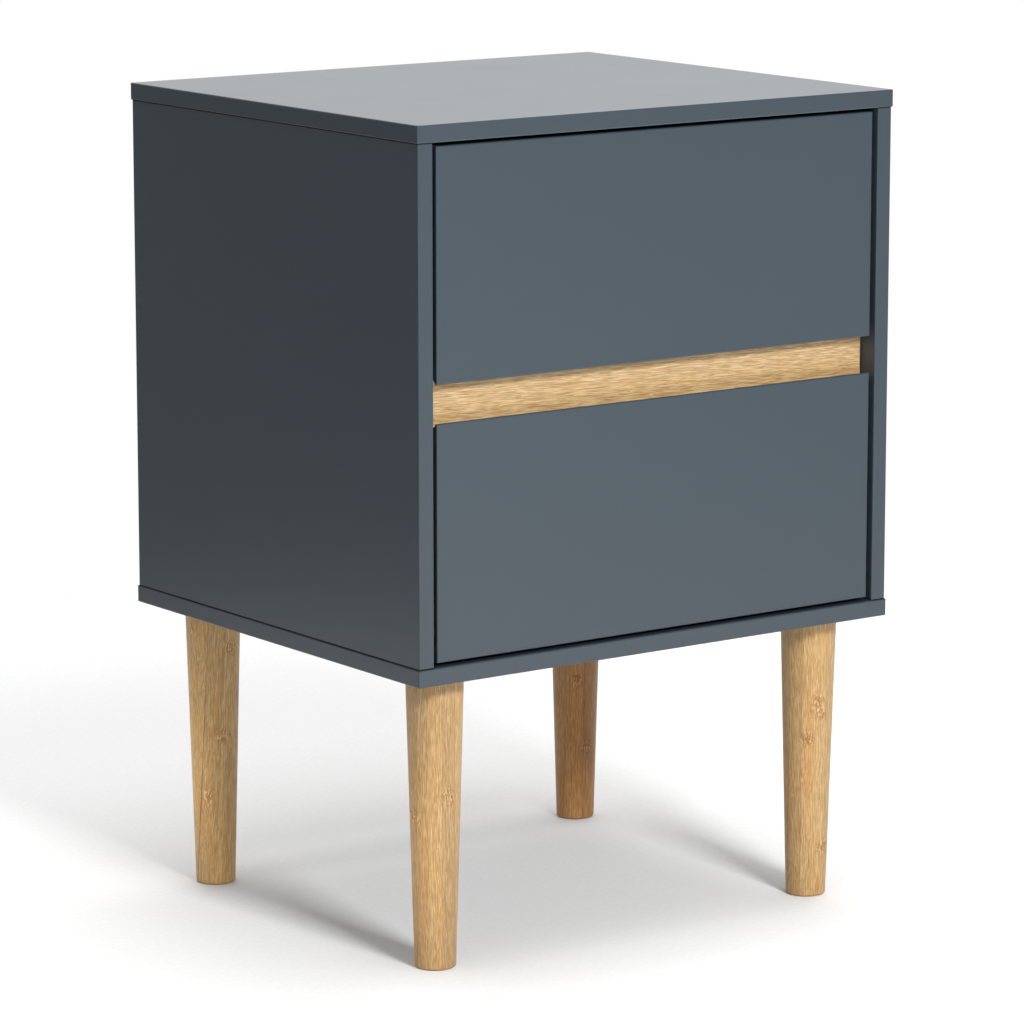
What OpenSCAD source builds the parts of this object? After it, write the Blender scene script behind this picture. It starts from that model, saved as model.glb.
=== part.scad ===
// Nightstand with two drawers on four round tapered legs.
// Origin: centre of the footprint, on the floor. +X is right seen from the front, +Y is the back, +Z is up.

/* [Cabinet] */
// Width over the top and bottom boards
cabinet_w = 400; // [380:10:520]
// Depth, front to back
cabinet_d = 350; // [350:10:420]
// Height of the cabinet body, without the legs
cabinet_h = 370; // [360:5:440]
// Thickness of the top, bottom and side boards
board_t = 12; // [12:1:14]
// How far the top and bottom boards stand proud of the side boards all round
board_step = 0.8; // [0:0.1:2]
// Radius of the eased edges of the painted boards and fronts
board_ease = 0.9; // [0.5:0.1:2]
// Thickness of the back panel
back_t = 3; // [3:0.5:5]
// Distance from the cabinet's back edge in to the back panel
back_inset = 10; // [6:1:14]
// Depth of the grooves that hold the back panel and the drawer bottoms
groove_depth = 5; // [4:0.5:6]

/* [Drawer fronts] */
// Thickness of a drawer front
front_t = 12; // [12:1:13]
// How far the fronts lie behind the side boards' front edges
front_setback = 1.5; // [0:0.5:2]
// Gap between a front and each side board
front_side_gap = 3.5; // [2:0.5:4]
// Gap above the upper front and below the lower front
front_edge_gap = 2.5; // [2:0.5:4]
// Height of the finger gap between the two fronts
finger_gap = 25.5; // [24:0.5:30]
// How much taller the lower front is than the upper one
lower_front_extra = 3.5; // [0:0.5:6]
// Bevel along the back edge of each front at the finger gap
finger_bevel = 11; // [4:0.5:11]

/* [Oak rail] */
// Height of the rail behind the finger gap
rail_h = 50; // [50:1:54]
// Thickness of the rail, front to back
rail_t = 16; // [12:1:18]
// Radius of the rail's rounded ends
rail_end_round = 3; // [1.5:0.5:5]
// Space between the back of a closed front and the rail
rail_space = 0.5; // [0.4:0.1:1]

/* [Legs] */
// Height of a leg
leg_h = 203; // [120:1:260]
// Diameter of a leg where it meets the cabinet
leg_top_d = 39.5; // [34:0.5:44]
// Diameter of a leg at the floor
leg_foot_d = 28; // [22:0.5:32]
// Radius of the rounded edge round the foot
foot_round = 2; // [1:0.5:4]
// Distance from the cabinet's side in to a leg's axis
leg_inset_x = 39; // [34:1:60]
// Distance from the cabinet's front or back in to a leg's axis
leg_inset_y = 38; // [34:1:60]

/* [Drawer boxes] */
// Thickness of the drawer box boards
box_board_t = 12; // [12:1:14]
// Height of a drawer box
box_h = 120; // [90:5:125]
// Length of a drawer box behind its front
box_d = 300; // [300:5:310]
// Thickness of a drawer bottom
box_base_t = 4; // [3:0.5:6]
// Height of a drawer bottom above its box's lower edge
box_base_lift = 10; // [8:1:14]
// Space between the rail and the upper drawer box
box_rail_space = 5; // [5:1:8]
// Space between the bottom board and the lower drawer box
box_floor_space = 13; // [10:1:15]
// Radius of the eased edges of the rail and the drawer box boards
wood_ease = 1; // [0.5:0.1:1.5]

/* [Runners] */
// Space that a runner fills between a drawer box and a side board
runner_gap = 13; // [13:0.5:14]
// Height of a runner
runner_h = 35; // [35:1:45]
// Length of a runner
runner_len = 295; // [280:5:295]
// Thickness of the runner's steel
sheet_t = 1.2; // [1:0.1:1.4]
// Diameter of a bearing ball
ball_d = 4; // [3:0.5:4]
// Distance from one ball to the next
ball_pitch = 8; // [6:1:9]
// Number of balls in each of a cage's two rows
balls_per_row = 8; // [5:1:8]
// How far a drawer opens
drawer_travel = 225; // [150:5:225]

/* [Fittings] */
// Diameter of a wooden dowel
dowel_d = 6; // [5:0.5:6]
// Depth of a dowel in a board's face
dowel_face_depth = 8; // [6:0.5:9]
// Depth of a dowel in a board's end
dowel_end_depth = 16; // [12:1:20]
// Diameter of a cam lock
cam_d = 12; // [12:0.5:14]
// Distance from a side board's end to the middle of a cam lock
cam_reach = 24; // [20:1:30]
// Diameter of a leg's hanger bolt
leg_bolt_d = 8; // [6:1:8]
// Diameter of a small wood screw's shank
screw_d = 3.6; // [3:0.2:4]

/* [Hidden] */

$fn = 48;
// Small overlap that carries a cut through a face.
cut = 0.1;

PAINT = [0.35, 0.39, 0.43];
OAK = [0.83, 0.69, 0.50];
BAMBOO = [0.78, 0.63, 0.42];
DRAWER_WOOD = [0.87, 0.77, 0.62];
STEEL = [0.72, 0.73, 0.75];
DOWEL_WOOD = [0.85, 0.74, 0.58];

// Levels of the cabinet.
cabinet_top_z = leg_h + cabinet_h;
inside_low_z = leg_h + board_t;
inside_high_z = cabinet_top_z - board_t;
// Half sizes of the cabinet.
half_w = cabinet_w / 2;
half_d = cabinet_d / 2;
side_out_x = half_w - board_step;
side_in_x = side_out_x - board_t;
side_mid_x = side_out_x - board_t / 2;
side_front_y = -half_d + board_step;
side_back_y = half_d - board_step;
// Back panel and its grooves.
groove_play = 0.1;
back_low_y = half_d - back_inset - back_t;
back_high_y = half_d - back_inset;
// Space left between the bottom of a groove and the panel in it.
panel_end_play = 0.5;

// Drawer fronts.
fronts_h = inside_high_z - inside_low_z - 2 * front_edge_gap - finger_gap;
upper_front_h = (fronts_h - lower_front_extra) / 2;
lower_front_h = upper_front_h + lower_front_extra;
front_half_w = side_in_x - front_side_gap;
front_face_y = side_front_y + front_setback;
front_back_y = front_face_y + front_t;
lower_front_z = inside_low_z + front_edge_gap;
upper_front_z = lower_front_z + lower_front_h + finger_gap;

// Rail between the drawers.
rail_face_y = front_back_y + rail_space;
rail_mid_y = rail_face_y + rail_t / 2;
rail_mid_z = lower_front_z + lower_front_h + finger_gap / 2;
rail_low_z = rail_mid_z - rail_h / 2;
rail_high_z = rail_mid_z + rail_h / 2;
rail_dowel_spacing = 20;

// Drawer boxes.
upper_box_z = rail_high_z + box_rail_space;
lower_box_z = inside_low_z + box_floor_space;
box_out_x = side_in_x - runner_gap;
box_in_x = box_out_x - box_board_t;
box_front_in_y = front_back_y + box_board_t;
box_end_y = front_back_y + box_d;
box_back_in_y = box_end_y - box_board_t;
box_dowel_heights = [30, box_h - 25];
// Front fixing screws, across and up the box front.
front_screw_x = 110;
front_screw_heights = [35, box_h - 25];
front_screw_depth = 8;

// Legs.
leg_x = half_w - leg_inset_x;
leg_y = half_d - leg_inset_y;
leg_bolt_depth = 40;
leg_bolt_play = 0.5;
nut_barrel_d = 10;
nut_barrel_h = 10;
nut_flange_d = 22;
nut_flange_t = 1.2;

// Carcass joints, front and back of the cabinet's middle.
cam_y = 120;
dowel_y = 80;
cam_depth = 9.8;
cam_pocket_play = 0.2;
cam_cavity_d = 6.2;
cam_bolt_d = 5;
cam_bolt_bore_d = 6;
cam_bolt_head_d = 5.6;
cam_bolt_head_h = 3;
cam_bolt_neck_d = 3.4;
cam_bolt_neck_h = 3.5;
cam_bolt_thread_h = 8;

// Runners. The balls roll between the flanges of the two channels.
runner_front_y = front_back_y + 3;
runner_half_h = runner_h / 2;
flange_w = 10;
lip_h = 1.2;
ball_play = 0.15;
race_z = runner_half_h - sheet_t;
ball_z = race_z - ball_play - ball_d / 2;
drawer_race_z = ball_z - ball_d / 2 - ball_play;
// Distance of the ball row from the side board's inner face.
ball_depth = runner_gap / 2;
// Ball cage: a U of thin steel behind the drawer channel's lips.
cage_t = 0.8;
cage_web_depth = 1.7;
cage_reach = 10.4;
cage_hole_play = 0.1;
cage_end = 5;
cage_len = (balls_per_row - 1) * ball_pitch + 2 * cage_end;
// A cage moves half as far as its drawer and stays inside both channels at each end.
cage_margin = 1;
cage_front_y = runner_front_y + drawer_travel / 2 + cage_margin;
runner_screw_offsets = [35, 145, 260];
screw_len = 10;
screw_head_d = 7;
screw_head_h = 1.8;
pan_head_d = 8;
pan_head_h = 2.2;
pan_rim_h = 1.1;
pan_crown_d = 5.6;
recess_l = 4;
recess_w = 0.9;
recess_depth = 1.2;
runner_slot_offsets = [80, 195];
runner_slot_l = 8;
runner_slot_d = 4.5;
upper_runner_z = upper_box_z + box_h / 2;
lower_runner_z = lower_box_z + box_h / 2;

// ---------- Shared shapes ----------

// A box between two corners.
module span(lo, hi) {
  translate(lo)
    cube(hi - lo);
}

// The same shape on the left side.
module on_left() {
  mirror([1, 0, 0])
    children();
}

// The same shape on both sides.
module on_both_sides() {
  children();
  on_left()
    children();
}

// A rectangle with rounded corners, from the origin.
module rounded_rect(w, h, r) {
  translate([r, 0])
    square([w - 2 * r, h]);
  translate([0, r])
    square([w, h - 2 * r]);
  for (x = [r, w - r], y = [r, h - r])
    translate([x, y])
      circle(r);
}

// A board between two corners, with all its edges eased to a radius.
module eased_board(lo, hi, r) {
  size = hi - lo;
  translate(lo)
    intersection() {
      linear_extrude(height = size.z)
        rounded_rect(size.x, size.y, r);
      translate([0, size.y, 0])
        rotate([90, 0, 0])
          linear_extrude(height = size.y)
            rounded_rect(size.x, size.z, r);
      rotate([90, 0, 90])
        linear_extrude(height = size.x)
          rounded_rect(size.y, size.z, r);
    }
}

// A rod along +X from a point.
module rod_x(from, d, len) {
  translate(from)
    rotate([0, 90, 0])
      cylinder(d = d, h = len);
}

// A rod along +Y from a point.
module rod_y(from, d, len) {
  translate(from)
    rotate([-90, 0, 0])
      cylinder(d = d, h = len);
}

// Places children at the four carcass joint planes, with +Z pointing into the top or bottom board.
module at_carcass_joints(y) {
  for (side = [-1, 1], row = [-1, 1]) {
    translate([side * side_mid_x, row * y, inside_high_z])
      children();
    translate([side * side_mid_x, row * y, inside_low_z])
      mirror([0, 0, 1])
        children();
  }
}

// Places children at the four leg axes, at floor level.
module at_legs() {
  for (side = [-1, 1], row = [-1, 1])
    translate([side * leg_x, row * leg_y, 0])
      children();
}

// ---------- Carcass ----------

// Groove round the inside of the cabinet for the back panel.
module back_groove() {
  span(
    [-side_in_x - groove_depth, back_low_y - groove_play, inside_low_z - groove_depth],
    [side_in_x + groove_depth, back_high_y + groove_play, inside_high_z + groove_depth]
  );
}

// Holes for the cam bolts: a snug one in the face and a looser one in the board's end.
module cam_bolt_bores() {
  at_carcass_joints(cam_y) {
    cylinder(d = cam_bolt_d, h = cam_bolt_thread_h);
    translate([0, 0, -cam_reach])
      cylinder(d = cam_bolt_bore_d, h = cam_reach);
  }
}

module top_panel() {
  color(PAINT)
    difference() {
      eased_board([-half_w, -half_d, inside_high_z], [half_w, half_d, cabinet_top_z], board_ease);
      back_groove();
      dowels_in_carcass();
      cam_bolt_bores();
    }
}

module bottom_panel() {
  color(PAINT)
    difference() {
      eased_board([-half_w, -half_d, leg_h], [half_w, half_d, inside_low_z], board_ease);
      back_groove();
      dowels_in_carcass();
      cam_bolt_bores();
      at_legs()
        translate([0, 0, leg_h - cut])
          cylinder(d = nut_barrel_d, h = board_t + 2 * cut);
    }
}

// Side board on the right; the left one is its mirror image.
module side_panel() {
  difference() {
    eased_board(
      [side_in_x, side_front_y, inside_low_z],
      [side_out_x, side_back_y, inside_high_z],
      board_ease
    );
    back_groove();
    dowels_in_carcass();
    dowels_in_rail();
    cam_bolt_bores();
    side_cam_pockets();
    at_cabinet_screws(upper_runner_z)
      screw_blank();
    at_cabinet_screws(lower_runner_z)
      screw_blank();
  }
}

// Cam pockets of the right side board, open on its inner face.
module side_cam_pockets() {
  for (row = [-1, 1], level = [inside_high_z - cam_reach, inside_low_z + cam_reach])
    rod_x([side_in_x - cut, row * cam_y, level], cam_d, cam_depth + cam_pocket_play + cut);
}

module left_side_panel() {
  color(PAINT)
    on_left()
      side_panel();
}

module right_side_panel() {
  color(PAINT)
    side_panel();
}

module back_panel() {
  reach = groove_depth - panel_end_play;
  color(PAINT)
    span(
      [-side_in_x - reach, back_low_y, inside_low_z - reach],
      [side_in_x + reach, back_high_y, inside_high_z + reach]
    );
}

module oak_rail() {
  color(OAK)
    difference() {
      intersection() {
        eased_board(
          [-side_in_x, rail_face_y, rail_low_z],
          [side_in_x, rail_face_y + rail_t, rail_high_z],
          wood_ease
        );
        translate([-side_in_x, rail_face_y, rail_low_z])
          linear_extrude(height = rail_h)
            rounded_rect(2 * side_in_x, rail_t, rail_end_round);
      }
      dowels_in_rail();
    }
}

// Dowels that join the top and bottom boards to the side boards.
module dowels_in_carcass() {
  at_carcass_joints(dowel_y)
    translate([0, 0, -dowel_end_depth])
      cylinder(d = dowel_d, h = dowel_end_depth + dowel_face_depth);
}

module carcass_dowels() {
  color(DOWEL_WOOD)
    dowels_in_carcass();
}

// Dowels that join the rail to the side boards.
module dowels_in_rail() {
  on_both_sides()
    for (step = [-0.5, 0.5])
      rod_x(
        [side_in_x - dowel_end_depth, rail_mid_y, rail_mid_z + step * rail_dowel_spacing],
        dowel_d,
        dowel_end_depth + dowel_face_depth
      );
}

module rail_dowels() {
  color(DOWEL_WOOD)
    dowels_in_rail();
}

// A cam lock lies along +X from the origin, with its open side towards +Z.
module cam_lock() {
  slot_w = 1.2;
  slot_l = 7;
  slot_depth = 1.5;
  difference() {
    rod_x([0, 0, 0], cam_d, cam_depth);
    translate([board_t / 2, 0, -cam_cavity_d / 2])
      cylinder(d = cam_cavity_d, h = cam_d);
    for (turn = [0, 90])
      rotate([turn, 0, 0])
        span([-cut, -slot_l / 2, -slot_w / 2], [slot_depth, slot_l / 2, slot_w / 2]);
  }
}

module cam_locks() {
  color(STEEL)
    on_both_sides()
      for (row = [-1, 1]) {
        translate([side_in_x, row * cam_y, inside_high_z - cam_reach])
          cam_lock();
        translate([side_in_x, row * cam_y, inside_low_z + cam_reach])
          mirror([0, 0, 1])
            cam_lock();
      }
}

// A cam bolt: thread in the face, plain shaft in the board's end, neck and head in the cam lock.
module cam_bolts() {
  head_low = -cam_reach - cam_bolt_head_h / 2;
  neck_low = head_low + cam_bolt_head_h;
  shaft_low = neck_low + cam_bolt_neck_h;
  color(STEEL)
    at_carcass_joints(cam_y) {
      translate([0, 0, head_low])
        cylinder(d = cam_bolt_head_d, h = cam_bolt_head_h);
      translate([0, 0, neck_low])
        cylinder(d = cam_bolt_neck_d, h = cam_bolt_neck_h);
      translate([0, 0, shaft_low])
        cylinder(d = cam_bolt_d, h = cam_bolt_thread_h - shaft_low);
    }
}

// ---------- Legs ----------

// Radius of a leg at a height above the floor.
function leg_r(z) = (leg_foot_d + (leg_top_d - leg_foot_d) * z / leg_h) / 2;

// Half outline of a leg: flat foot, rounded edge, straight taper, flat top.
function leg_outline() = concat(
  [[0, 0]],
  [for (a = [0 : 15 : 90])
    [leg_r(foot_round) - foot_round * (1 - sin(a)), foot_round * (1 - cos(a))]],
  [[leg_r(leg_h), leg_h], [0, leg_h]]
);

module leg(side, row) {
  color(BAMBOO)
    translate([side * leg_x, row * leg_y, 0])
      difference() {
        rotate_extrude($fn = 96)
          polygon(leg_outline());
        translate([0, 0, leg_h - leg_bolt_depth - leg_bolt_play])
          cylinder(d = leg_bolt_d, h = leg_bolt_depth + leg_bolt_play + cut);
      }
}

module front_left_leg() {
  leg(-1, -1);
}

module front_right_leg() {
  leg(1, -1);
}

module back_left_leg() {
  leg(-1, 1);
}

module back_right_leg() {
  leg(1, 1);
}

module leg_hanger_bolts() {
  color(STEEL)
    at_legs()
      translate([0, 0, leg_h - leg_bolt_depth])
        cylinder(d = leg_bolt_d, h = leg_bolt_depth + board_t - leg_bolt_play);
}

// Flanged nuts pressed into the bottom board from above.
module leg_flange_nuts() {
  color(STEEL)
    at_legs()
      difference() {
        union() {
          translate([0, 0, inside_low_z - nut_barrel_h])
            cylinder(d = nut_barrel_d, h = nut_barrel_h + nut_flange_t);
          translate([0, 0, inside_low_z])
            cylinder(d = nut_flange_d, h = nut_flange_t);
        }
        translate([0, 0, leg_h])
          cylinder(d = leg_bolt_d, h = board_t + nut_flange_t + cut);
      }
}

// ---------- Runners ----------

// Section of a channel: a web on the Y axis, two flanges towards +X, and a lip on each flange's end.
// lip_side is -1 for lips that point in and 1 for lips that point out.
module channel_section(half_h, lip_side) {
  lip_mid = half_h + (lip_side < 0 ? -sheet_t - lip_h / 2 : lip_h / 2);
  translate([0, -half_h])
    square([sheet_t, 2 * half_h]);
  for (row = [-1, 1]) {
    translate([flange_w / 2, row * (half_h - sheet_t / 2)])
      square([flange_w, sheet_t], center = true);
    translate([flange_w - sheet_t / 2, row * lip_mid])
      square([sheet_t, lip_h], center = true);
  }
}

// Lays a section down along the runner: section +X becomes +X, section +Y becomes +Z.
module along_runner(from_y, len) {
  translate([0, from_y + len, 0])
    rotate([90, 0, 0])
      linear_extrude(height = len)
        children();
}

// Outline of a countersunk screw along -X, without its recess; its head's face is at the origin.
module screw_blank() {
  rotate([0, -90, 0]) {
    cylinder(d1 = screw_head_d, d2 = screw_d, h = screw_head_h);
    cylinder(d = screw_d, h = screw_len);
  }
}

// Cross recess for a screwdriver, cut along -X from the origin.
module cross_recess() {
  for (turn = [0, 90])
    rotate([turn, 0, 0])
      span([-recess_depth, -recess_l / 2, -recess_w / 2], [cut, recess_l / 2, recess_w / 2]);
}

// A countersunk screw along -X, with its head's face at the origin.
module countersunk_screw() {
  difference() {
    screw_blank();
    cross_recess();
  }
}

// Places children at the right cabinet channel's screws, at one drawer's height.
module at_cabinet_screws(z) {
  for (offset = runner_screw_offsets)
    translate([side_in_x - sheet_t, runner_front_y + offset, z])
      mirror([1, 0, 0])
        children();
}

// Places children at the right drawer channel's screws, at one drawer's height.
module at_drawer_screws(z) {
  for (offset = runner_screw_offsets)
    translate([box_out_x + sheet_t, runner_front_y + offset, z])
      children();
}

// Oblong spare holes through the web of a right channel that starts at x, at one drawer's height.
module web_slots(x, z) {
  for (offset = runner_slot_offsets, step = [0 : 1])
    rod_x([x - cut, runner_front_y + offset + step * runner_slot_l, z], runner_slot_d, sheet_t + 2 * cut);
  for (offset = runner_slot_offsets)
    span(
      [x - cut, runner_front_y + offset, z - runner_slot_d / 2],
      [x + sheet_t + cut, runner_front_y + offset + runner_slot_l, z + runner_slot_d / 2]
    );
}

// The channel on the right side board.
module right_cabinet_channel(z) {
  color(STEEL)
    difference() {
      translate([side_in_x, 0, z])
        mirror([1, 0, 0])
          along_runner(runner_front_y, runner_len)
            channel_section(runner_half_h, -1);
      at_cabinet_screws(z)
        screw_blank();
      web_slots(side_in_x - sheet_t, z);
    }
}

// The channel on the right side of a drawer.
module right_drawer_channel(z) {
  color(STEEL)
    difference() {
      translate([box_out_x, 0, z])
        along_runner(runner_front_y, runner_len)
          channel_section(drawer_race_z, 1);
      at_drawer_screws(z)
        screw_blank();
      web_slots(box_out_x, z);
    }
}

module upper_left_cabinet_runner() {
  on_left()
    right_cabinet_channel(upper_runner_z);
}

module upper_right_cabinet_runner() {
  right_cabinet_channel(upper_runner_z);
}

module lower_left_cabinet_runner() {
  on_left()
    right_cabinet_channel(lower_runner_z);
}

module lower_right_cabinet_runner() {
  right_cabinet_channel(lower_runner_z);
}

module cabinet_runner_screws() {
  color(STEEL)
    on_both_sides() {
      at_cabinet_screws(upper_runner_z)
        countersunk_screw();
      at_cabinet_screws(lower_runner_z)
        countersunk_screw();
    }
}

module upper_left_drawer_runner() {
  on_left()
    right_drawer_channel(upper_runner_z);
}

module upper_right_drawer_runner() {
  right_drawer_channel(upper_runner_z);
}

module lower_left_drawer_runner() {
  on_left()
    right_drawer_channel(lower_runner_z);
}

module lower_right_drawer_runner() {
  right_drawer_channel(lower_runner_z);
}

module upper_drawer_runner_screws() {
  color(STEEL)
    on_both_sides()
      at_drawer_screws(upper_runner_z)
        countersunk_screw();
}

module lower_drawer_runner_screws() {
  color(STEEL)
    on_both_sides()
      at_drawer_screws(lower_runner_z)
        countersunk_screw();
}

// Places children at each ball of the right runner at one drawer's height.
module at_balls(z) {
  for (row = [-1, 1], i = [0 : balls_per_row - 1])
    translate([side_in_x - ball_depth, cage_front_y + cage_end + i * ball_pitch, z + row * ball_z])
      children();
}

// The cage that spaces the balls of the right runner.
module right_ball_cage(z) {
  web_x = side_in_x - cage_web_depth;
  color(STEEL)
    difference() {
      translate([web_x, 0, z])
        mirror([1, 0, 0])
          along_runner(cage_front_y, cage_len) {
            translate([0, -ball_z - cage_t / 2])
              square([cage_t, 2 * ball_z + cage_t]);
            for (row = [-1, 1])
              translate([0, row * ball_z - cage_t / 2])
                square([cage_reach - cage_web_depth, cage_t]);
          }
      at_balls(z)
        cylinder(d = ball_d + 2 * cage_hole_play, h = 2 * cage_t, center = true);
    }
}

// The balls of the right runner.
module right_balls(z) {
  color(STEEL)
    at_balls(z)
      sphere(d = ball_d, $fn = 24);
}

module upper_left_ball_cage() {
  on_left()
    right_ball_cage(upper_runner_z);
}

module upper_right_ball_cage() {
  right_ball_cage(upper_runner_z);
}

module lower_left_ball_cage() {
  on_left()
    right_ball_cage(lower_runner_z);
}

module lower_right_ball_cage() {
  right_ball_cage(lower_runner_z);
}

module upper_left_balls() {
  on_left()
    right_balls(upper_runner_z);
}

module upper_right_balls() {
  right_balls(upper_runner_z);
}

module lower_left_balls() {
  on_left()
    right_balls(lower_runner_z);
}

module lower_right_balls() {
  right_balls(lower_runner_z);
}

// ---------- Drawers ----------

// Places children at the screws that hold a drawer front, for a box whose lower edge is at box_z.
module at_front_screws(box_z) {
  for (side = [-1, 1], height = front_screw_heights)
    translate([side * front_screw_x, 0, box_z + height])
      children();
}

// Shank of a front screw, through the box front into the drawer front.
module front_screw_shank() {
  rod_y([0, front_back_y - front_screw_depth, 0], screw_d, front_screw_depth + box_board_t);
}

// Pan-head screws that hold a drawer front to its box.
module front_screws(box_z) {
  at_front_screws(box_z) {
    front_screw_shank();
    pan_head();
  }
}

// Pan head of a front screw: a low rim, a sloped crown and a cross recess.
module pan_head() {
  translate([0, box_front_in_y, 0])
    difference() {
      rotate([-90, 0, 0]) {
        cylinder(d = pan_head_d, h = pan_rim_h);
        translate([0, 0, pan_rim_h])
          cylinder(d1 = pan_head_d, d2 = pan_crown_d, h = pan_head_h - pan_rim_h);
      }
      translate([0, pan_head_h, 0])
        rotate([0, 0, 90])
          cross_recess();
    }
}

// A drawer front from z up. bevel_up is true when its beveled edge is the upper one.
module drawer_front(z, h, box_z, bevel_up) {
  color(PAINT)
    difference() {
      eased_board(
        [-front_half_w, front_face_y, z],
        [front_half_w, front_back_y, z + h],
        board_ease
      );
      translate([0, front_back_y, bevel_up ? z + h : z])
        rotate([45, 0, 0])
          cube([cabinet_w, finger_bevel * sqrt(2), finger_bevel * sqrt(2)], center = true);
      at_front_screws(box_z)
        front_screw_shank();
    }
}

// Dowels in the four corners of a drawer box.
module box_dowels(box_z) {
  on_both_sides()
    for (y = [box_front_in_y - box_board_t / 2, box_end_y - box_board_t / 2], height = box_dowel_heights)
      rod_x([box_in_x - dowel_end_depth, y, box_z + height], dowel_d, dowel_end_depth + dowel_face_depth);
}

// Groove for a drawer bottom, in the box's sides and front.
module base_groove(box_z) {
  span(
    [-box_in_x - groove_depth, box_front_in_y - groove_depth, box_z + box_base_lift - groove_play],
    [box_in_x + groove_depth, box_end_y + cut, box_z + box_base_lift + box_base_t + groove_play]
  );
}

module box_front(box_z) {
  color(DRAWER_WOOD)
    difference() {
      eased_board([-box_in_x, front_back_y, box_z], [box_in_x, box_front_in_y, box_z + box_h], wood_ease);
      base_groove(box_z);
      box_dowels(box_z);
      at_front_screws(box_z)
        front_screw_shank();
    }
}

// The right side of a drawer box; the left one is its mirror image.
module box_side(box_z, runner_z) {
  color(DRAWER_WOOD)
    difference() {
      eased_board([box_in_x, front_back_y, box_z], [box_out_x, box_end_y, box_z + box_h], wood_ease);
      base_groove(box_z);
      box_dowels(box_z);
      at_drawer_screws(runner_z)
        screw_blank();
    }
}

// The back stands on the drawer bottom.
module box_back(box_z) {
  low_z = box_z + box_base_lift + box_base_t + groove_play;
  color(DRAWER_WOOD)
    difference() {
      eased_board([-box_in_x, box_back_in_y, low_z], [box_in_x, box_end_y, box_z + box_h], wood_ease);
      box_dowels(box_z);
    }
}

module box_bottom(box_z) {
  reach = groove_depth - panel_end_play;
  low_z = box_z + box_base_lift;
  color(DRAWER_WOOD)
    span(
      [-box_in_x - reach, box_front_in_y - reach, low_z],
      [box_in_x + reach, box_end_y - panel_end_play, low_z + box_base_t]
    );
}

module upper_drawer_front() {
  drawer_front(upper_front_z, upper_front_h, upper_box_z, false);
}

module upper_drawer_box_front() {
  box_front(upper_box_z);
}

module upper_drawer_left_side() {
  on_left()
    box_side(upper_box_z, upper_runner_z);
}

module upper_drawer_right_side() {
  box_side(upper_box_z, upper_runner_z);
}

module upper_drawer_back() {
  box_back(upper_box_z);
}

module upper_drawer_bottom() {
  box_bottom(upper_box_z);
}

module upper_drawer_dowels() {
  color(DOWEL_WOOD)
    box_dowels(upper_box_z);
}

module upper_drawer_front_screws() {
  color(STEEL)
    front_screws(upper_box_z);
}

module lower_drawer_front() {
  drawer_front(lower_front_z, lower_front_h, lower_box_z, true);
}

module lower_drawer_box_front() {
  box_front(lower_box_z);
}

module lower_drawer_left_side() {
  on_left()
    box_side(lower_box_z, lower_runner_z);
}

module lower_drawer_right_side() {
  box_side(lower_box_z, lower_runner_z);
}

module lower_drawer_back() {
  box_back(lower_box_z);
}

module lower_drawer_bottom() {
  box_bottom(lower_box_z);
}

module lower_drawer_dowels() {
  color(DOWEL_WOOD)
    box_dowels(lower_box_z);
}

module lower_drawer_front_screws() {
  color(STEEL)
    front_screws(lower_box_z);
}

// ---------- Nodes ----------

top_panel();
bottom_panel();
left_side_panel();
right_side_panel();
back_panel();
oak_rail();
carcass_dowels();
rail_dowels();
cam_locks();
cam_bolts();
front_left_leg();
front_right_leg();
back_left_leg();
back_right_leg();
leg_hanger_bolts();
leg_flange_nuts();
upper_left_cabinet_runner();
upper_right_cabinet_runner();
lower_left_cabinet_runner();
lower_right_cabinet_runner();
cabinet_runner_screws();
upper_left_ball_cage();
upper_left_balls();
upper_right_ball_cage();
upper_right_balls();
lower_left_ball_cage();
lower_left_balls();
lower_right_ball_cage();
lower_right_balls();
upper_drawer_front();
upper_drawer_box_front();
upper_drawer_left_side();
upper_drawer_right_side();
upper_drawer_back();
upper_drawer_bottom();
upper_drawer_dowels();
upper_drawer_front_screws();
upper_left_drawer_runner();
upper_right_drawer_runner();
upper_drawer_runner_screws();
lower_drawer_front();
lower_drawer_box_front();
lower_drawer_left_side();
lower_drawer_right_side();
lower_drawer_back();
lower_drawer_bottom();
lower_drawer_dowels();
lower_drawer_front_screws();
lower_left_drawer_runner();
lower_right_drawer_runner();
lower_drawer_runner_screws();
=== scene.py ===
import math

import bmesh
import bpy
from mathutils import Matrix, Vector


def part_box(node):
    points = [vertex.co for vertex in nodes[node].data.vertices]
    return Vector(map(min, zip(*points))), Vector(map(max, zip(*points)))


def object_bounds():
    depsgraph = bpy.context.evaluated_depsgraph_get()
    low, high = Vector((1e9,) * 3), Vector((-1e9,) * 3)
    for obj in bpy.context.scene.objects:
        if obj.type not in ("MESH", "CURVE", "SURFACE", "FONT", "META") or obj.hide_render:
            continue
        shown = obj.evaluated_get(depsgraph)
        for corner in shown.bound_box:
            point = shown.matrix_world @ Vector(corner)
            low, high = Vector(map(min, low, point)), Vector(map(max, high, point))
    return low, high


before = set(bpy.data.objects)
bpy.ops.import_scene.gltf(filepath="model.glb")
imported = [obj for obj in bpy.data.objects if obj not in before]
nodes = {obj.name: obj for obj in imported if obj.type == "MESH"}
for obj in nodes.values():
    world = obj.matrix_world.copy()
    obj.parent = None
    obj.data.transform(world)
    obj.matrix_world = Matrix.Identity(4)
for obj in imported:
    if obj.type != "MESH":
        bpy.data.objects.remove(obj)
cad_low, cad_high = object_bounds()
floor_height = cad_low.z

MM = 0.001

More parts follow.
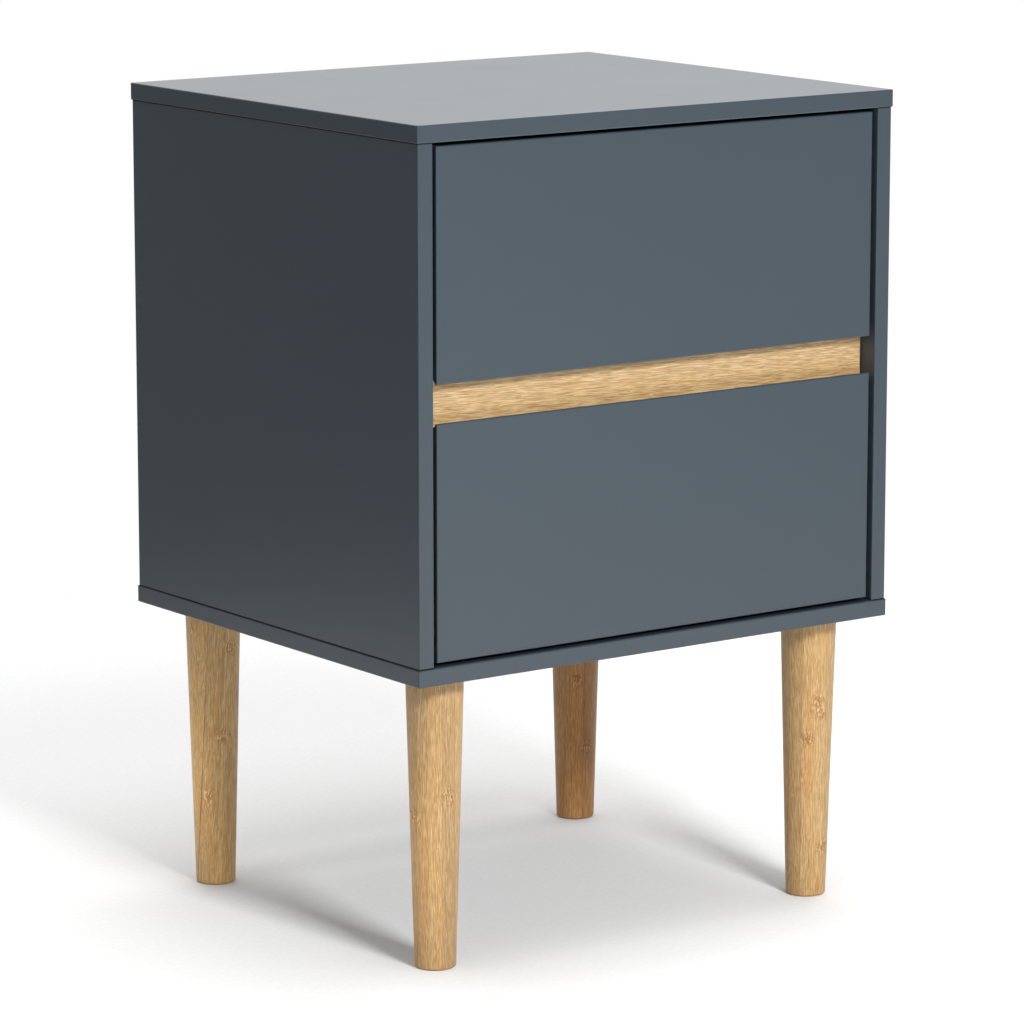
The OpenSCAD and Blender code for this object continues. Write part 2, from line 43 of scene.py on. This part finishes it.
# The photograph's viewpoint, solved from the cabinet's edges: the camera's place in metres, its turn
# and downward tilt, and its lens and sensor in millimetres
CAMERA_PLACE = (-1.97094, -2.71419, 0.90420)
CAMERA_AZIMUTH = math.radians(-36.019)
CAMERA_TILT = math.radians(10.669)
CAMERA_LENS = 170.21
SENSOR_WIDTH = 36.0

# Blue-grey lacquer, and the painted shade in the lines where a side board meets the top or the bottom
# board
PAINT_DEEP = (0.0290, 0.0425, 0.0545)
PAINT_LIGHT = (0.0302, 0.0440, 0.0562)
JOINT_SHADE = (0.004, 0.005, 0.006)
JOINT_EDGE = (0.35 * MM, 0.60 * MM)
side_low, side_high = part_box("left_side_panel")
JOINT_HEIGHTS = (side_low.z, side_high.z)
JOINT_INNER = -side_high.x

# Oak veneer: its dark and light growth, pale and honey fibres and pores, the painted light that makes its
# lower edge in the finger gap lighter and richer, and how far the grain runs off the rail's length
OAK_LATE = (0.340, 0.210, 0.088)
OAK_EARLY = (0.450, 0.312, 0.160)
OAK_PALE = (0.570, 0.428, 0.240)
OAK_HONEY = (0.430, 0.255, 0.098)
OAK_PORE = (0.225, 0.125, 0.048)
OAK_PAINTED_LIGHT = (1.12, 1.07, 0.97)
OAK_SLOPE = 0.03
gap_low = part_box("lower_drawer_front")[1].z
OAK_PAINTED_LIGHT_SPAN = (gap_low + 2.0 * MM, gap_low + 16.0 * MM)

# Laminated bamboo: its fibres, vessels, knuckles and glue seams, the sizes of strips and knuckles, the
# numbers that strips and layers count from, and how far apart two strips' grain is taken from
BAMBOO_DEEP = (0.335, 0.205, 0.083)
BAMBOO_PALE = (0.480, 0.330, 0.162)
BAMBOO_GOLD = (0.410, 0.243, 0.088)
BAMBOO_VESSEL = (0.260, 0.148, 0.056)
BAMBOO_LIGHT = (0.590, 0.437, 0.246)
BAMBOO_KNUCKLE = (0.290, 0.138, 0.040)
BAMBOO_SEAM = (0.13, 0.07, 0.026)
STRIP_DEPTH = 44.0 * MM
FIRST_STRIP = 40.0
FIRST_LAYER = 20.5
STRIP_APART = 37.0
KNUCKLE_SIZE = (6.5 * MM, 8.0 * MM)
SEAM_EDGE = (0.1 * MM, 0.6 * MM)

# How strongly oiled wood shines, and the plain woods inside: pale, deep and pore colours
WOOD_SHINE = 0.35
DRAWER_WOOD = ((0.57, 0.43, 0.28), (0.46, 0.33, 0.19), (0.33, 0.21, 0.11))
PLYWOOD = ((0.61, 0.48, 0.33), (0.52, 0.39, 0.25), (0.40, 0.27, 0.15))
BEECH = ((0.68, 0.47, 0.28), (0.58, 0.37, 0.20), (0.36, 0.20, 0.10))
ZINC_PLATE = (0.66, 0.67, 0.68)


# ---------------------------------------------------------------------------------------------
# A small helper for node materials
# ---------------------------------------------------------------------------------------------

class Shader:
    """The nodes of a material or of the world as they are built up.

    Lengths are in metres, so a noise's scales are its waves per metre along x, y and z.
    """

    def __init__(self, owner):
        owner.use_nodes = True
        self.owner = owner
        self.tree = owner.node_tree
        self.tree.nodes.clear()
        self.place = self.node("TexCoord", out="Object")

    def put(self, socket, value):
        """Links a socket to the input, or sets the input to a plain value."""
        if isinstance(value, bpy.types.NodeSocket):
            self.tree.links.new(value, socket)
        elif socket.type == "RGBA" and len(value) == 3:
            socket.default_value = (*value, 1.0)
        else:
            socket.default_value = value

    def node(self, kind, inputs=None, out=0, **settings):
        """Adds a node and returns one of its outputs."""
        made = self.tree.nodes.new("ShaderNode" + kind)
        for name, value in settings.items():
            setattr(made, name, value)
        for key, value in (inputs or {}).items():
            self.put(made.inputs[key], value)
        return made.outputs[out]

    def calc(self, operation, *values):
        """A sum on one or more numbers."""
        return self.node("Math", dict(enumerate(values)), operation=operation)

    def scaled(self, where, scales, shift=(0.0, 0.0, 0.0)):
        """A place stretched along the axes, which makes grain out of even noise."""
        return self.node("Mapping", {"Vector": where, "Scale": scales, "Location": shift})

    def parts(self, where):
        """The x, y and z of a place."""
        split = self.tree.nodes.new("ShaderNodeSeparateXYZ")
        self.put(split.inputs[0], where)
        return split.outputs[0], split.outputs[1], split.outputs[2]

    def joined(self, x, y, z):
        """A place made of its x, y and z."""
        return self.node("CombineXYZ", {0: x, 1: y, 2: z})

    def noise(self, where, scale=1.0, detail=2.0, roughness=0.5, distortion=0.0):
        """Soft noise from 0 to 1, mostly near the middle."""
        inputs = {"Vector": where, "Scale": scale, "Detail": detail}
        inputs.update({"Roughness": roughness, "Distortion": distortion})
        return self.node("TexNoise", inputs, out="Fac")

    def hashed(self, value):
        """A steady random number from 0 to 1 for each whole value."""
        return self.node("TexWhiteNoise", {"W": value}, noise_dimensions="1D")

    def band(self, value, low, high, to_low=0.0, to_high=1.0):
        """Moves smoothly from one number to another as value goes from low to high."""
        inputs = {"Value": value, "From Min": low, "From Max": high}
        inputs.update({"To Min": to_low, "To Max": to_high})
        return self.node("MapRange", inputs, interpolation_type="SMOOTHSTEP")

    def mix(self, share, first, second, kind="MIX"):
        """A blend of two colours."""
        made = self.tree.nodes.new("ShaderNodeMix")
        made.data_type = "RGBA"
        made.blend_type = kind
        self.put(made.inputs[0], share)
        self.put(made.inputs[6], first)
        self.put(made.inputs[7], second)
        return made.outputs[2]

    def bump(self, height, depth):
        """A surface relief of the given depth in metres."""
        return self.node("Bump", {"Height": height, "Distance": depth, "Strength": 1.0})

    def finish(self, **inputs):
        """Closes the material with one Principled shader."""
        named = {name.replace("_", " "): value for name, value in inputs.items()}
        surface = self.node("BsdfPrincipled", named)
        end = self.tree.nodes.new("ShaderNodeOutputMaterial")
        self.tree.links.new(surface, end.inputs["Surface"])
        return self.owner


# ---------------------------------------------------------------------------------------------
# Materials
# ---------------------------------------------------------------------------------------------

def satin_paint():
    """Sprayed satin lacquer with a faint orange peel and painted shade in the lines where the boards
    meet.
    """
    s = Shader(bpy.data.materials.new("satin_paint"))
    cloud = s.noise(s.place, scale=5.0, detail=3.0)
    speck = s.noise(s.place, scale=420.0, detail=2.0)
    tone = s.calc("MULTIPLY_ADD", speck, 0.25, s.calc("MULTIPLY", cloud, 0.75))
    colour = s.mix(s.band(tone, 0.3, 0.7), PAINT_DEEP, PAINT_LIGHT)
    across, _, up = s.parts(s.place)
    joint_shade = 0.0
    for height in JOINT_HEIGHTS:
        away = s.calc("ABSOLUTE", s.calc("SUBTRACT", up, height))
        joint_shade = s.calc("MAXIMUM", joint_shade, s.band(away, JOINT_EDGE[0], JOINT_EDGE[1], 1.0, 0.0))
    beside = s.band(s.calc("ABSOLUTE", across), JOINT_INNER, JOINT_INNER + 0.2 * MM)
    joint_shade = s.calc("MULTIPLY", joint_shade, beside)
    # Painted shade: the creases where a side board meets the top or the bottom board are darkened in the
    # colour
    colour = s.mix(s.calc("MULTIPLY", joint_shade, 0.9), colour, JOINT_SHADE)
    gloss = s.band(s.noise(s.place, scale=14.0, detail=2.0), 0.3, 0.7, 0.275, 0.285)
    gloss = s.calc("MAXIMUM", gloss, joint_shade)
    peel = s.bump(s.noise(s.place, scale=520.0, detail=1.0), 0.006 * MM)
    return s.finish(Base_Color=colour, Roughness=gloss, Normal=peel)


def oak_veneer():
    """Clear matt oak veneer with its grain along x: growth bands, fibre, honey-toned rays and pores."""
    s = Shader(bpy.data.materials.new("oak_veneer"))
    x, y, z = s.parts(s.place)
    drift = s.noise(s.scaled(s.place, (7.0, 50.0, 50.0)), detail=1.0)
    ripple = s.noise(s.scaled(s.place, (40.0, 200.0, 200.0)), detail=1.0)
    push = s.calc("MULTIPLY_ADD", ripple, 0.2 * MM, s.calc("MULTIPLY", drift, 2.8 * MM))
    push = s.calc("MULTIPLY_ADD", x, OAK_SLOPE, push)
    bent = s.joined(x, s.calc("ADD", y, push), s.calc("ADD", z, push))
    growth = s.noise(s.scaled(bent, (3.0, 360.0, 360.0)), detail=1.0, roughness=0.5)
    fibre = s.noise(s.scaled(bent, (30.0, 2000.0, 2000.0)), detail=1.0, roughness=0.5)
    pore = s.noise(s.scaled(bent, (65.0, 2400.0, 2400.0)), detail=1.0)
    ray = s.noise(s.scaled(bent, (22.0, 1100.0, 1100.0), (3.0, 0.0, 7.0)), detail=1.0)
    colour = s.mix(s.band(growth, 0.30, 0.62, 0.55, 1.0), OAK_LATE, OAK_EARLY)
    colour = s.mix(s.band(fibre, 0.48, 0.62, 0.0, 0.85), colour, OAK_PALE)
    colour = s.mix(s.band(fibre, 0.48, 0.36, 0.0, 0.85), colour, OAK_LATE)
    colour = s.mix(s.band(ray, 0.53, 0.68, 0.0, 0.65), colour, OAK_HONEY)
    dark = s.band(pore, 0.56, 0.68, 0.0, 0.7)
    colour = s.mix(dark, colour, OAK_PORE)
    # Painted light: the veneer is made lighter and richer towards the lower edge of the finger gap, where
    # the rail lies in shade
    painted_light = s.band(z, OAK_PAINTED_LIGHT_SPAN[0], OAK_PAINTED_LIGHT_SPAN[1], 1.0, 0.0)
    colour = s.mix(painted_light, colour, s.mix(1.0, colour, OAK_PAINTED_LIGHT, "MULTIPLY"))
    relief = s.bump(s.calc("SUBTRACT", s.calc("MULTIPLY", fibre, 0.4), dark), 0.04 * MM)
    gloss = s.band(fibre, 0.3, 0.7, 0.46, 0.58)
    return s.finish(Base_Color=colour, Roughness=gloss, Normal=relief, Specular_IOR_Level=WOOD_SHINE)


def bamboo(name, centre, look):
    """Laminated bamboo, glued from upright strips, with the knuckles and seams that a leg shows."""
    s = Shader(bpy.data.materials.new(name))
    local = s.node("Mapping", {"Vector": s.place, "Location": (-centre.x, -centre.y, 0.0)})
    local = s.node("VectorRotate", {"Vector": local, "Axis": (0, 0, 1), "Angle": look["turn"]})
    across, deep, up = s.parts(local)
    leaned = s.calc("MULTIPLY_ADD", up, -look["lean"], across)

    start = FIRST_STRIP - look["seam_at"] / look["strip"]
    strip = s.calc("MULTIPLY_ADD", leaned, 1.0 / look["strip"], start)
    layer = s.calc("MULTIPLY_ADD", deep, 1.0 / STRIP_DEPTH, FIRST_LAYER + look["seed"])
    own = s.calc("MULTIPLY_ADD", s.calc("FLOOR", layer), 7.0, s.calc("FLOOR", strip))
    tone = s.hashed(s.calc("ADD", own, look["seed"]))

    shifted = s.joined(leaned, s.calc("MULTIPLY_ADD", tone, STRIP_APART, deep), up)
    wander = s.noise(s.scaled(shifted, (80.0, 80.0, 24.0)), detail=1.0)
    wave = s.noise(s.scaled(shifted, (300.0, 300.0, 90.0)), detail=1.0)
    push = s.calc("MULTIPLY_ADD", wave, 0.4 * MM, s.calc("MULTIPLY", wander, 2.8 * MM))
    bent = s.node("VectorMath", {0: shifted, 1: s.joined(push, push, 0.0)}, operation="ADD")
    fibre = s.noise(s.scaled(bent, (1700.0, 1700.0, 48.0)), detail=2.0, roughness=0.62)
    vessel = s.noise(s.scaled(bent, (2000.0, 2000.0, 130.0)), detail=1.0)
    broad = s.noise(s.scaled(bent, (170.0, 170.0, 11.0)), detail=2.0)

    colour = s.mix(s.band(fibre, 0.40, 0.60), BAMBOO_DEEP, BAMBOO_PALE)
    colour = s.mix(s.band(broad, 0.44, 0.70, 0.0, 0.6), colour, BAMBOO_GOLD)
    colour = s.mix(s.band(vessel, 0.54, 0.68, 0.0, 0.55), colour, BAMBOO_VESSEL)
    colour = s.mix(s.band(vessel, 0.45, 0.32, 0.0, 0.45), colour, BAMBOO_LIGHT)
    shade = s.band(tone, 0.0, 1.0, 0.90, 1.06)
    warm = s.noise(s.scaled(shifted, (230.0, 230.0, 5.0), (5.0, 2.0, 0.0)), detail=1.0)
    warm = s.band(warm, 0.42, 0.66, 0.0, 0.13)
    green = s.calc("MULTIPLY", shade, s.calc("MULTIPLY_ADD", warm, -0.55, 1.0))
    blue = s.calc("MULTIPLY", shade, s.calc("MULTIPLY_ADD", warm, -1.4, 1.0))
    colour = s.mix(1.0, colour, s.joined(shade, green, blue), "MULTIPLY")

    ragged = s.calc("MULTIPLY", wave, 0.3)
    near = 0.0
    for side, height in look["knuckles"]:
        beside = s.calc("DIVIDE", s.calc("SUBTRACT", across, side * MM), KNUCKLE_SIZE[0])
        above = s.calc("DIVIDE", s.calc("SUBTRACT", up, height * MM), KNUCKLE_SIZE[1])
        away = s.node("VectorMath", {0: s.joined(beside, above, 0.0)}, out="Value", operation="LENGTH")
        spot = s.band(s.calc("ADD", away, ragged), 0.45, 1.35, 1.0, 0.0)
        near = s.calc("MAXIMUM", near, spot)
    hatch = s.noise(s.scaled(shifted, (1000.0, 1000.0, 300.0)), detail=1.0, distortion=0.8)
    stroke = s.calc("MULTIPLY", near, s.band(hatch, 0.46, 0.58, 0.25, 0.95))
    colour = s.mix(stroke, colour, BAMBOO_KNUCKLE)
    stroke = s.calc("MULTIPLY", near, s.band(hatch, 0.47, 0.39, 0.0, 0.75))
    colour = s.mix(stroke, colour, BAMBOO_LIGHT)

    faint = s.noise(s.scaled(shifted, (30.0, 30.0, 9.0)), detail=0.0)
    faint = s.band(faint, 0.35, 0.60, 0.35, 1.0)
    seam = 0.0
    for side, dark in look["seams"]:
        beside = s.calc("ABSOLUTE", s.calc("SUBTRACT", leaned, side * MM))
        line = s.band(beside, SEAM_EDGE[0], SEAM_EDGE[1], dark, 0.0)
        seam = s.calc("MAXIMUM", seam, s.calc("MULTIPLY", line, faint))
    colour = s.mix(seam, colour, BAMBOO_SEAM)
    # Painted light and shade: the cast lightens the back-left leg and darkens and browns the back-right
    # leg
    colour = s.mix(1.0, colour, look["cast"], "MULTIPLY")

    height = s.calc("SUBTRACT", s.calc("MULTIPLY", fibre, 0.5), s.calc("MULTIPLY", seam, 0.6))
    relief = s.bump(height, 0.03 * MM)
    gloss = s.band(fibre, 0.3, 0.7, 0.40, 0.50)
    return s.finish(Base_Color=colour, Roughness=gloss, Normal=relief, Specular_IOR_Level=WOOD_SHINE)


def plain_wood(name, along, tints, swirl=3.0 * MM):
    """Straight-grained light wood. Along is 0, 1 or 2: the axis that the grain follows."""
    pale, deep, pore_tint = tints
    s = Shader(bpy.data.materials.new(name))
    slow = [1.0, 1.0, 1.0]
    slow[along] = 0.08
    drift = s.noise(s.scaled(s.place, tuple(70.0 * k for k in slow)), detail=2.0)
    push = s.calc("MULTIPLY", drift, swirl)
    bent = s.node("VectorMath", {0: s.place, 1: s.joined(push, push, push)}, operation="ADD")
    grain = [1.0, 1.0, 1.0]
    grain[along] = 0.03
    ring = s.noise(s.scaled(bent, tuple(210.0 * k for k in grain)), detail=3.0, roughness=0.55)
    fibre = s.noise(s.scaled(bent, tuple(1300.0 * k for k in grain)), detail=3.0, roughness=0.6)
    pore = s.noise(s.scaled(bent, tuple(2400.0 * k for k in grain)), detail=1.0)
    colour = s.mix(s.band(ring, 0.3, 0.7), deep, pale)
    colour = s.mix(s.band(fibre, 0.35, 0.7, 0.0, 0.4), colour, pale)
    colour = s.mix(s.band(pore, 0.62, 0.76, 0.0, 0.45), colour, pore_tint)
    relief = s.bump(fibre, 0.04 * MM)
    gloss = s.band(fibre, 0.3, 0.7, 0.48, 0.62)
    return s.finish(Base_Color=colour, Roughness=gloss, Normal=relief)


def plated_steel(name, along, tint, rough):
    """Rolled, zinc-plated steel: faint spangle and fine lines along one axis."""
    s = Shader(bpy.data.materials.new(name))
    lines = [900.0, 900.0, 900.0]
    lines[along] = 12.0
    drawn = s.noise(s.scaled(s.place, tuple(lines)), detail=3.0, roughness=0.6)
    spangle = s.node("TexVoronoi", {"Vector": s.place, "Scale": 130.0}, out="Color")
    flake = s.calc("MULTIPLY", s.parts(spangle)[0], 0.10)
    shade = s.calc("ADD", s.band(drawn, 0.3, 0.7, 0.84, 0.94), flake)
    colour = s.mix(1.0, s.joined(shade, shade, shade), tint, "MULTIPLY")
    gloss = s.band(drawn, 0.3, 0.7, rough - 0.05, rough + 0.09)
    relief = s.bump(drawn, 0.012 * MM)
    return s.finish(Base_Color=colour, Roughness=gloss, Metallic=1.0, Normal=relief)


def cast_zinc():
    """Die-cast zinc fittings: grey, faintly grained."""
    s = Shader(bpy.data.materials.new("zinc_fitting"))
    grit = s.noise(s.place, scale=900.0, detail=3.0, roughness=0.6)
    stain = s.noise(s.place, scale=90.0, detail=3.0)
    shade = s.calc("MULTIPLY_ADD", stain, 0.18, s.calc("MULTIPLY", grit, 0.10))
    colour = s.mix(s.band(shade, 0.06, 0.22), (0.40, 0.41, 0.42), (0.60, 0.61, 0.61))
    gloss = s.band(grit, 0.3, 0.7, 0.36, 0.50)
    relief = s.bump(grit, 0.03 * MM)
    return s.finish(Base_Color=colour, Roughness=gloss, Metallic=1.0, Normal=relief)


def polished_balls():
    """Ground bearing balls with the haze that handling leaves."""
    s = Shader(bpy.data.materials.new("bearing_steel"))
    haze = s.noise(s.place, scale=600.0, detail=3.0)
    colour = s.mix(s.band(haze, 0.3, 0.7), (0.68, 0.68, 0.69), (0.78, 0.78, 0.79))
    gloss = s.band(haze, 0.35, 0.7, 0.08, 0.20)
    return s.finish(Base_Color=colour, Roughness=gloss, Metallic=1.0)


def dress(node, material):
    """Gives a CAD node its material."""
    for place in nodes[node].material_slots:
        place.material = material


def middle(node):
    """The middle of a node's box."""
    low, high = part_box(node)
    return (low + high) / 2.0


paint = satin_paint()
oak = oak_veneer()
board_x = plain_wood("drawer_wood_x", 0, DRAWER_WOOD)
board_y = plain_wood("drawer_wood_y", 1, DRAWER_WOOD)
plywood = plain_wood("birch_plywood", 0, PLYWOOD, swirl=8.0 * MM)
dowel_x = plain_wood("beech_dowel_x", 0, BEECH)
dowel_z = plain_wood("beech_dowel_z", 2, BEECH)
runner_steel = plated_steel("zinc_steel", 1, ZINC_PLATE, 0.33)
fittings = cast_zinc()
balls = polished_balls()

# How each leg's strips stand: turn in radians, lean as a slope, strip width and place in metres, a
# colour cast (on the back-left leg painted light, on the back-right leg partly darker wood and partly
# painted shade), the knuckles' places beside the axis and above the foot in millimetres, and the seams
# that show, each with its place at the foot in millimetres and its darkness
LEG_LOOKS = {
    "front_left_leg": {
        "turn": 0.63, "lean": 0.0, "strip": 8.5 * MM, "seam_at": 5.0 * MM, "seed": 0.05,
        "cast": (1.02, 1.0, 0.99), "knuckles": ((9.5, 120), (-14.5, 106)),
        "seams": ((-12.0, 0.15), (13.5, 0.20), (0.8, 0.08)),
    },
    "front_right_leg": {
        "turn": 0.63, "lean": 0.0, "strip": 8.5 * MM, "seam_at": 3.5 * MM, "seed": 0.15,
        "cast": (1.02, 1.0, 0.95), "knuckles": ((7.2, 143), (7.6, 135), (-0.9, 116), (12.0, 36)),
        "seams": ((-13.5, 0.30), (-5.0, 0.25), (12.0, 0.15)),
    },
    "back_left_leg": {
        "turn": 0.63, "lean": 0.054, "strip": 12.4 * MM, "seam_at": 0.0, "seed": 0.30,
        "cast": (1.22, 1.22, 1.16), "knuckles": ((-15.5, 188), (7.0, 110), (-4.0, 66), (13.0, 174)),
        "seams": ((-12.4, 1.0), (0.0, 0.25)),
    },
    "back_right_leg": {
        "turn": 0.63, "lean": 0.01, "strip": 8.5 * MM, "seam_at": 4.0 * MM, "seed": 0.43,
        "cast": (0.86, 0.69, 0.55), "knuckles": ((8.6, 56), (1.0, 108)),
        "seams": ((-9.0, 0.5), (5.5, 0.35)),
    },
}

for leg, look in LEG_LOOKS.items():
    dress(leg, bamboo("bamboo_" + leg, middle(leg), look))

for node in nodes:
    if node.endswith("_leg"):
        continue
    if node.endswith(("_panel", "drawer_front")):
        dress(node, paint)
    elif node == "oak_rail":
        dress(node, oak)
    elif node.endswith(("box_front", "drawer_back")):
        dress(node, board_x)
    elif node.endswith("_side"):
        dress(node, board_y)
    elif node.endswith("drawer_bottom"):
        dress(node, plywood)
    elif node == "carcass_dowels":
        dress(node, dowel_z)
    elif node.endswith("_dowels"):
        dress(node, dowel_x)
    elif node.endswith("_balls"):
        dress(node, balls)
    elif node.endswith(("_runner", "_screws", "_cage")):
        dress(node, runner_steel)
    else:
        dress(node, fittings)


# ---------------------------------------------------------------------------------------------
# Studio: floor, world, lights and camera
# ---------------------------------------------------------------------------------------------

# The floor's own glow at its rim and in front of the object, and the floor's radius in metres
FLOOR_GLOW = 0.25
FRONT_GLOW = 0.6
FLOOR_RADIUS = 1.1

# The room as light: which way its bright wall and its bright floor lie, and how bright each part is
WALL_SIDE = (0.588, 0.809)
FLOOR_SIDE = (0.6, -0.8)
WORLD_DARK = 0.29
WALL_LIGHT = 0.98
FLOOR_LIGHT = 2.2


def studio_floor(radius):
    """A round pale sweep of floor under the object."""
    mesh = bpy.data.meshes.new("studio_floor")
    shape = bmesh.new()
    bmesh.ops.create_circle(shape, cap_ends=True, segments=128, radius=radius)
    shape.to_mesh(mesh)
    shape.free()
    floor = bpy.data.objects.new("studio_floor", mesh)
    floor.location.z = floor_height
    bpy.context.scene.collection.objects.link(floor)
    s = Shader(bpy.data.materials.new("pale_floor"))
    grain = s.noise(s.place, scale=260.0, detail=2.0)
    colour = s.mix(s.band(grain, 0.3, 0.7), (0.80, 0.80, 0.80), (0.83, 0.83, 0.83))
    reach = s.node("VectorMath", {0: s.place}, out="Value", operation="LENGTH")
    glow = s.band(reach, 0.5 * radius, radius, 0.0, FLOOR_GLOW)
    front = s.band(s.parts(s.place)[1], -0.15, -0.75, 0.0, FRONT_GLOW)
    glow = s.calc("ADD", glow, front)
    look = s.finish(Base_Color=colour, Roughness=0.9, Emission_Color=(1, 1, 1), Emission_Strength=glow)
    mesh.materials.append(look)


def studio_world():
    """White to the camera; as light, a dim room with a bright back wall and a bright floor in front."""
    s = Shader(bpy.data.worlds.new("studio"))
    facing = s.node("TexCoord", out="Generated")
    x, y, z = s.parts(facing)
    wall = s.calc("MULTIPLY_ADD", x, WALL_SIDE[0], s.calc("MULTIPLY", y, WALL_SIDE[1]))
    front = s.calc("MULTIPLY_ADD", x, FLOOR_SIDE[0], s.calc("MULTIPLY", y, FLOOR_SIDE[1]))
    low = s.calc("MULTIPLY", s.band(z, -0.07, -0.20), s.band(front, 0.0, 0.5))
    low = s.calc("MULTIPLY", low, s.band(x, 0.77, 0.49, 0.4, 1.03))
    low = s.calc("MULTIPLY", low, FLOOR_LIGHT)
    back = s.band(wall, 0.35, 0.85, WORLD_DARK, WALL_LIGHT)
    back = s.calc("MULTIPLY", back, s.band(z, 0.0, 0.22, 0.85, 1.2))
    light = s.calc("MAXIMUM", back, low)
    seen = s.node("LightPath", out="Is Camera Ray")
    strength = s.calc("MAXIMUM", light, seen)
    glow = s.node("Background", {"Color": (1.0, 1.0, 1.0, 1.0), "Strength": strength})
    end = s.tree.nodes.new("ShaderNodeOutputWorld")
    s.tree.links.new(glow, end.inputs["Surface"])
    bpy.context.scene.world = s.owner


def softbox(name, place, target, size, power, tint=(1.0, 1.0, 1.0)):
    """A studio light that faces a point: places and width and height in metres, power in watts."""
    data = bpy.data.lights.new(name, "AREA")
    data.shape = "RECTANGLE"
    data.size = size[0]
    data.size_y = size[1]
    data.energy = power
    data.color = tint
    light = bpy.data.objects.new(name, data)
    light.location = place
    aim = Vector(target) - Vector(place)
    light.rotation_euler = aim.to_track_quat("-Z", "Y").to_euler()
    light.visible_camera = False
    bpy.context.scene.collection.objects.link(light)
    return light


def photo_camera():
    """The camera at the photograph's viewing angle."""
    data = bpy.data.cameras.new("camera")
    data.lens = CAMERA_LENS
    data.sensor_width = SENSOR_WIDTH
    data.clip_end = 40.0
    camera = bpy.data.objects.new("camera", data)
    camera.location = CAMERA_PLACE
    level = math.cos(CAMERA_TILT)
    back = Vector((
        math.sin(CAMERA_AZIMUTH) * level,
        -math.cos(CAMERA_AZIMUTH) * level,
        math.sin(CAMERA_TILT),
    ))
    camera.rotation_mode = "QUATERNION"
    camera.rotation_quaternion = (-back).to_track_quat("-Z", "Y")
    bpy.context.scene.collection.objects.link(camera)
    bpy.context.scene.camera = camera


studio_floor(FLOOR_RADIUS)
studio_world()
heart = (cad_low + cad_high) / 2.0
softbox("key_box", (-0.25, -2.15, 1.42), heart, (0.5, 0.36), 53.0)

# A narrow warm light near the floor, which reaches only the legs
warm_box = softbox("low_box", (-1.0, 0.1, 0.075), (0.0, 0.1, 0.075), (0.9, 0.11), 0.13, (1.0, 0.84, 0.58))
warm_box.data.spread = math.radians(12.0)
softbox("top_box", (0.1, 0.1, 2.2), heart, (1.6, 1.6), 40.0)
photo_camera()

view_settings = bpy.context.scene.view_settings
view_settings.view_transform = "Standard"
view_settings.look = "None"
